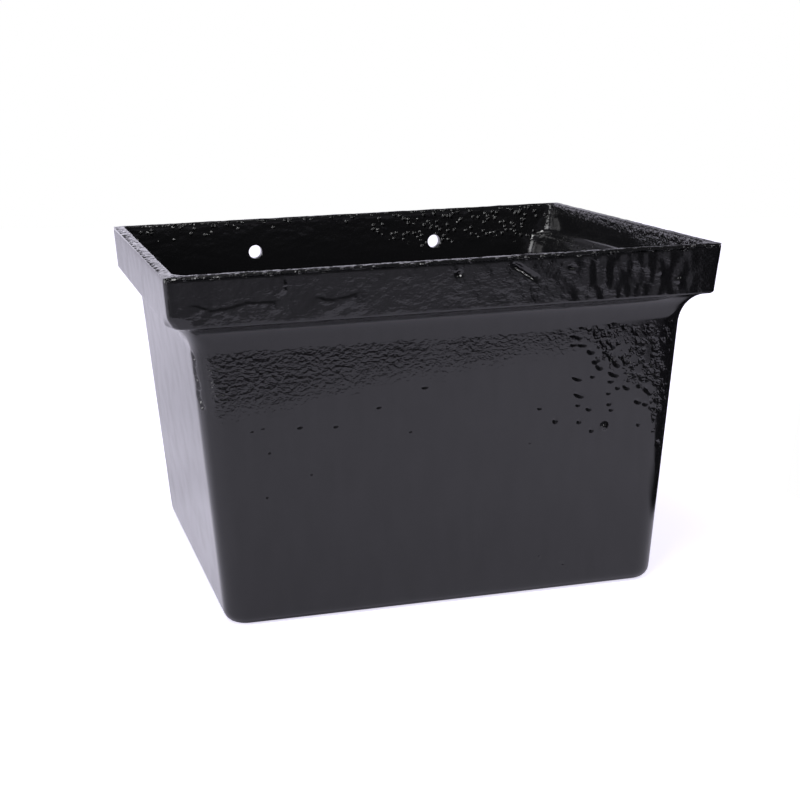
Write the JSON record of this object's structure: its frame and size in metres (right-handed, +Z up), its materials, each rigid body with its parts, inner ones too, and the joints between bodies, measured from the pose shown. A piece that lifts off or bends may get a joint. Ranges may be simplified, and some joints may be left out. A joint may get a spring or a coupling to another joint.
{
  "type": "downpipe hopper head",
  "caption": "Rectangular cast-iron rainwater hopper with a flanged rim over a hollow cove, tapered walls, a flat drilled back for wall fixing and a round outlet in the base.",
  "frame": {"origin": "middle of the part's box in plan, on the plane of the base", "axes": "+X along the wall, to the right as seen from the front; +Y towards the wall; +Z up, out of the open mouth"},
  "size_m": [0.254, 0.216, 0.164],
  "materials": {
    "black_paint": "gloss black paint over the rough skin of an iron casting"
  },
  "bodies": {
    "root": {"hopper_casting": "black_paint"}
  },
  "joints": []
}
